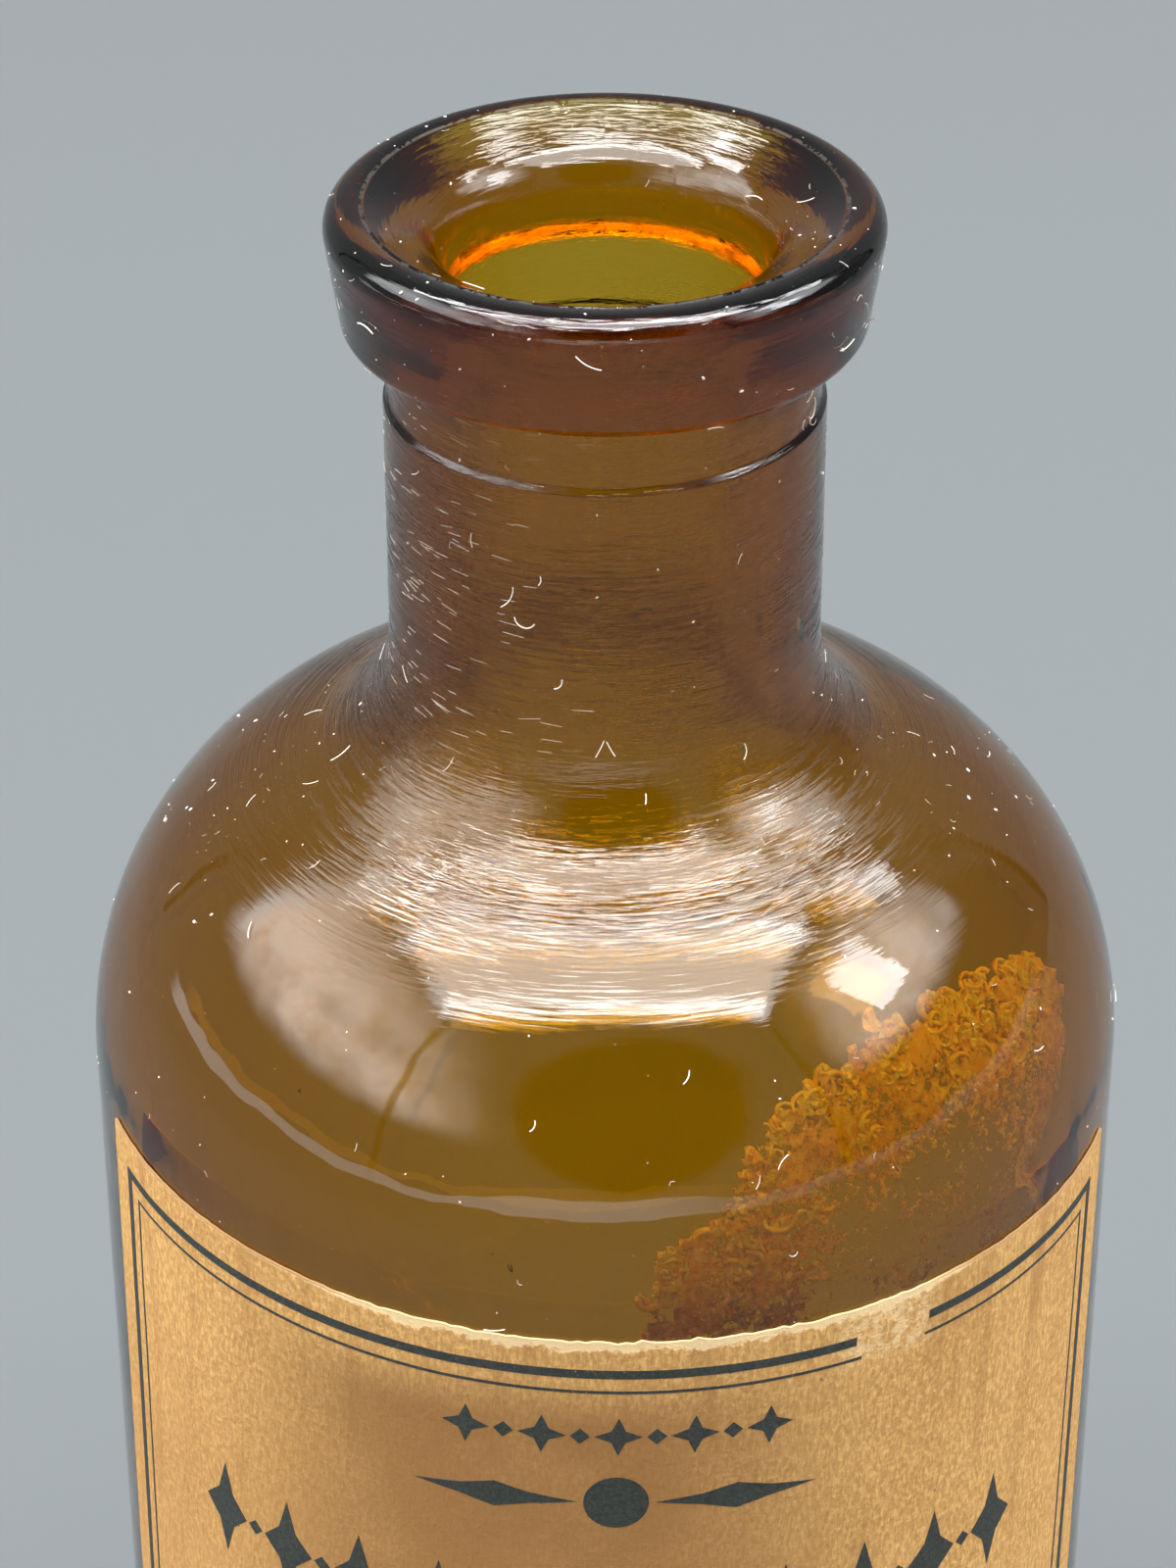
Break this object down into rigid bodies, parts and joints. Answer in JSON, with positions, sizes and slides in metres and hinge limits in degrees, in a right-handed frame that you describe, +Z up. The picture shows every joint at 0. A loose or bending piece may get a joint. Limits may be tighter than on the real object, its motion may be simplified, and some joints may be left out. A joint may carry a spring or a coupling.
{
  "type": "poison bottle",
  "caption": "Round amber glass medicine bottle with a domed shoulder, a straight neck, a thick flared lip with a sloped mouth, and a worn paper label with a double border.",
  "frame": {"origin": "middle of the base, on the plane that the bottle stands on", "axes": "+Z up along the bottle's axis, out of the mouth; the middle of the label faces -Y"},
  "size_m": [0.05, 0.0502, 0.115],
  "materials": {
    "amber_glass": "clear amber, glossy, with fine tool lines on the neck",
    "label_paper": "aged matt paper",
    "printing_ink": "matt letterpress ink soaked into the paper",
    "dried_deposit": "crumbly dried crust"
  },
  "bodies": {
    "root": {"bottle": "amber_glass", "label": "label_paper", "label_print": "printing_ink", "deposit": "dried_deposit"}
  },
  "joints": []
}
